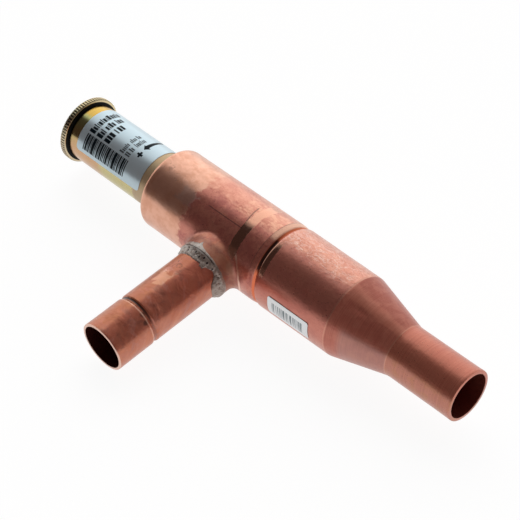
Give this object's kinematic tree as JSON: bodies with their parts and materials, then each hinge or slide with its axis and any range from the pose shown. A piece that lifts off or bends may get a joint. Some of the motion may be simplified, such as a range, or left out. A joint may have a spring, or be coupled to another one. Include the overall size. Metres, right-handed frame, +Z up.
{
  "type": "hot gas bypass valve",
  "caption": "Copper-bodied pressure regulating valve with side inlet and in-line outlet solder sockets, a brass spring housing and a knurled cap over its setting screw.",
  "frame": {"origin": "centre of the outlet socket's mouth", "axes": "+X out of the outlet, along the main axis; -Y out of the inlet; +Z up"},
  "size_m": [0.179, 0.078, 0.03],
  "materials": {
    "copper": "drawn copper, heat-tinted in places",
    "tube_copper": "drawn copper, heat-tinted in places",
    "braze": "dull silver-grey braze with dark pits",
    "brass": "turned, polished",
    "solder": "dull",
    "gasket": "matte black",
    "spring_steel": "oiled",
    "steel": "turned",
    "bronze": "thin sheet, dull",
    "plastic": "white, slippery",
    "rating_paper": "glossy film",
    "small_paper": "glossy film"
  },
  "bodies": {
    "valve": {"valve_body": "copper", "inlet_tube": "tube_copper", "inlet_braze": "braze", "spring_housing": "brass", "housing_braze": "solder", "valve_seat": "brass", "damper_cylinder": "brass", "bellows": "bronze", "main_spring": "spring_steel", "rating_label": "rating_paper", "small_label": "small_paper"},
    "gasket": {"cap_gasket": "gasket"},
    "cap": {"protective_cap": "brass"},
    "plate": {"spring_plate": "steel"},
    "screw": {"setting_screw": "brass"},
    "spindle": {"spindle": "steel", "spring_foot": "steel", "bellows_end_cap": "brass", "valve_plate": "brass", "valve_nut": "steel", "damper_piston": "brass", "piston_ring": "plastic", "piston_clip": "spring_steel"}
  },
  "joints": [
    {"name": "cap_lift", "type": "slide", "parent": "valve", "child": "gasket", "axis": [-1, 0, 0], "range_m": [0, 0.006]},
    {"name": "cap_turn", "type": "hinge", "parent": "gasket", "child": "cap", "pos_m": [-0.17, 0, 0], "axis": [-1, 0, 0], "range_deg": [0, 2160]},
    {"name": "screw_feed", "type": "slide", "parent": "valve", "child": "plate", "axis": [1, 0, 0], "range_m": [-0.003, 0.008], "deforming": ["main_spring"]},
    {"name": "screw_turn", "type": "hinge", "parent": "plate", "child": "screw", "pos_m": [-0.16, 0, 0], "axis": [1, 0, 0], "range_deg": [-1080, 2880]},
    {"name": "valve_lift", "type": "slide", "parent": "valve", "child": "spindle", "axis": [-1, 0, 0], "range_m": [0, 0.003], "stiffness_N_per_m": 13500, "springref_m": -0.0005, "deforming": ["main_spring", "bellows"]}
  ],
  "couplings": [
    {"joint": "cap_lift", "follows": "cap_turn", "m_per_rad": 0.00015915},
    {"joint": "screw_feed", "follows": "screw_turn", "m_per_rad": 0.00015915}
  ]
}
